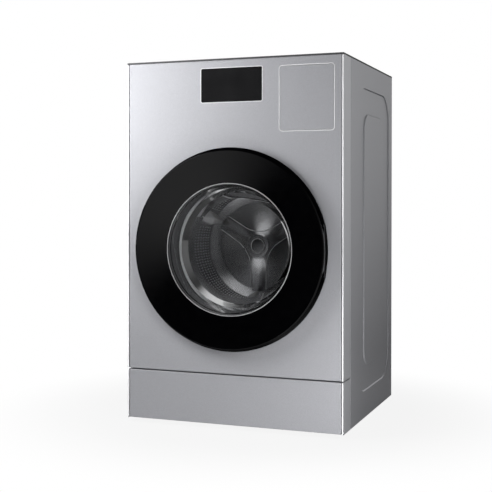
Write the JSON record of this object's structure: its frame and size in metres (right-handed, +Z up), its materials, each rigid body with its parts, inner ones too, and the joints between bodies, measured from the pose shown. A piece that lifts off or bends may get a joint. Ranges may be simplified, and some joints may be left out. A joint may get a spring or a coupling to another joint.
{
  "type": "front load washing machine",
  "caption": "Tall front load washing machine with a round glass-bowl door, perforated steel drum on a shaft, detergent drawer, display panel and drop-down filter panel.",
  "frame": {"origin": "centre of the overall box on the floor under the feet", "axes": "+Z up, +X to the right as seen from the front, +Y to the rear, the door faces -Y"},
  "size_m": [0.686, 0.714, 1.11],
  "materials": {
    "body_paint": "satin metallic paint",
    "top_dark": "matt paint",
    "galvanised": "galvanised",
    "base_plastic": "moulded",
    "display_black": "polished",
    "white_plastic": "moulded",
    "door_black": "polished",
    "window_glass": "clear",
    "steel": "turned",
    "rubber": "moulded",
    "tub_plastic": "moulded",
    "cast_iron": "as cast",
    "drum_steel": "polished",
    "hub_chrome": "polished",
    "spider_alloy": "as cast",
    "motor_steel": "laminated",
    "foot_plastic": "moulded"
  },
  "bodies": {
    "cabinet": {"left_side_panel": "body_paint", "right_side_panel": "body_paint", "front_panel": "body_paint", "corner_trims": "body_paint", "top_cover": "top_dark", "rear_panel": "galvanised", "rear_access_cover": "galvanised", "cross_rails": "galvanised", "spring_beam": "galvanised", "hinge_bracket": "galvanised", "gasket_front_clamp": "galvanised", "gasket_rear_clamp": "galvanised", "foot_lock_nuts": "galvanised", "suspension_springs": "galvanised", "heater": "galvanised", "base_pan": "base_plastic", "display_housing": "base_plastic", "door_lock": "base_plastic", "drain_pump": "base_plastic", "mains_gland": "base_plastic", "drain_outlet": "base_plastic", "damper_cylinders": "base_plastic", "display_glass": "display_black", "dispenser_housing": "white_plastic", "inlet_valve": "white_plastic", "drum_bearings": "steel", "damper_rods": "steel", "door_gasket": "rubber", "dispenser_hose": "rubber", "sump_hose": "rubber", "drain_hose": "rubber", "inlet_hose": "rubber", "shaft_seal": "rubber", "tub_front": "tub_plastic", "tub_rear": "tub_plastic", "counterweights": "cast_iron", "motor_stator": "motor_steel"},
    "drum": {"drum_shell": "drum_steel", "drum_front": "drum_steel", "drum_back": "drum_steel", "drum_lifters": "drum_steel", "drum_hub_cap": "hub_chrome", "drum_spider": "spider_alloy", "drum_shaft": "steel", "motor_rotor": "motor_steel"},
    "door": {"door_rim": "door_black", "door_face_ring": "door_black", "door_bowl": "window_glass", "door_inner_frame": "door_black", "door_hinge_pin": "steel", "door_latch_hook": "steel"},
    "drawer": {"drawer_front": "body_paint", "drawer_tray": "white_plastic"},
    "lower_panel": {"lower_front_panel": "body_paint"},
    "filter_cap": {"filter_cap": "base_plastic"},
    "foot_front_left": {"foot_front_left": "foot_plastic"},
    "foot_front_right": {"foot_front_right": "foot_plastic"},
    "foot_rear_left": {"foot_rear_left": "foot_plastic"},
    "foot_rear_right": {"foot_rear_right": "foot_plastic"}
  },
  "joints": [
    {"name": "door_hinge", "type": "hinge", "parent": "cabinet", "child": "door", "pos_m": [-0.286, -0.339, 0.54], "axis": [0, 0, -1], "range_deg": [0, 110]},
    {"name": "drum_spin", "type": "hinge", "parent": "cabinet", "child": "drum", "pos_m": [0, -0.067, 0.54], "axis": [0, -1, 0], "continuous": true},
    {"name": "drawer_slide", "type": "slide", "parent": "cabinet", "child": "drawer", "axis": [0, -1, 0], "range_m": [0, 0.2]},
    {"name": "lower_panel_hinge", "type": "hinge", "parent": "cabinet", "child": "lower_panel", "pos_m": [0, -0.308, 0.022], "axis": [1, 0, 0], "range_deg": [0, 85]},
    {"name": "filter_cap_turn", "type": "hinge", "parent": "cabinet", "child": "filter_cap", "pos_m": [0.15, -0.271, 0.092], "axis": [0, -1, 0], "range_deg": [0, 90]},
    {"name": "foot_front_left_turn", "type": "hinge", "parent": "cabinet", "child": "foot_front_left", "pos_m": [-0.285, -0.1897, 0.02], "axis": [0, 0, 1], "continuous": true},
    {"name": "foot_front_right_turn", "type": "hinge", "parent": "cabinet", "child": "foot_front_right", "pos_m": [0.285, -0.1897, 0.02], "axis": [0, 0, 1], "continuous": true},
    {"name": "foot_rear_left_turn", "type": "hinge", "parent": "cabinet", "child": "foot_rear_left", "pos_m": [-0.285, 0.3007, 0.02], "axis": [0, 0, 1], "continuous": true},
    {"name": "foot_rear_right_turn", "type": "hinge", "parent": "cabinet", "child": "foot_rear_right", "pos_m": [0.285, 0.3007, 0.02], "axis": [0, 0, 1], "continuous": true}
  ]
}
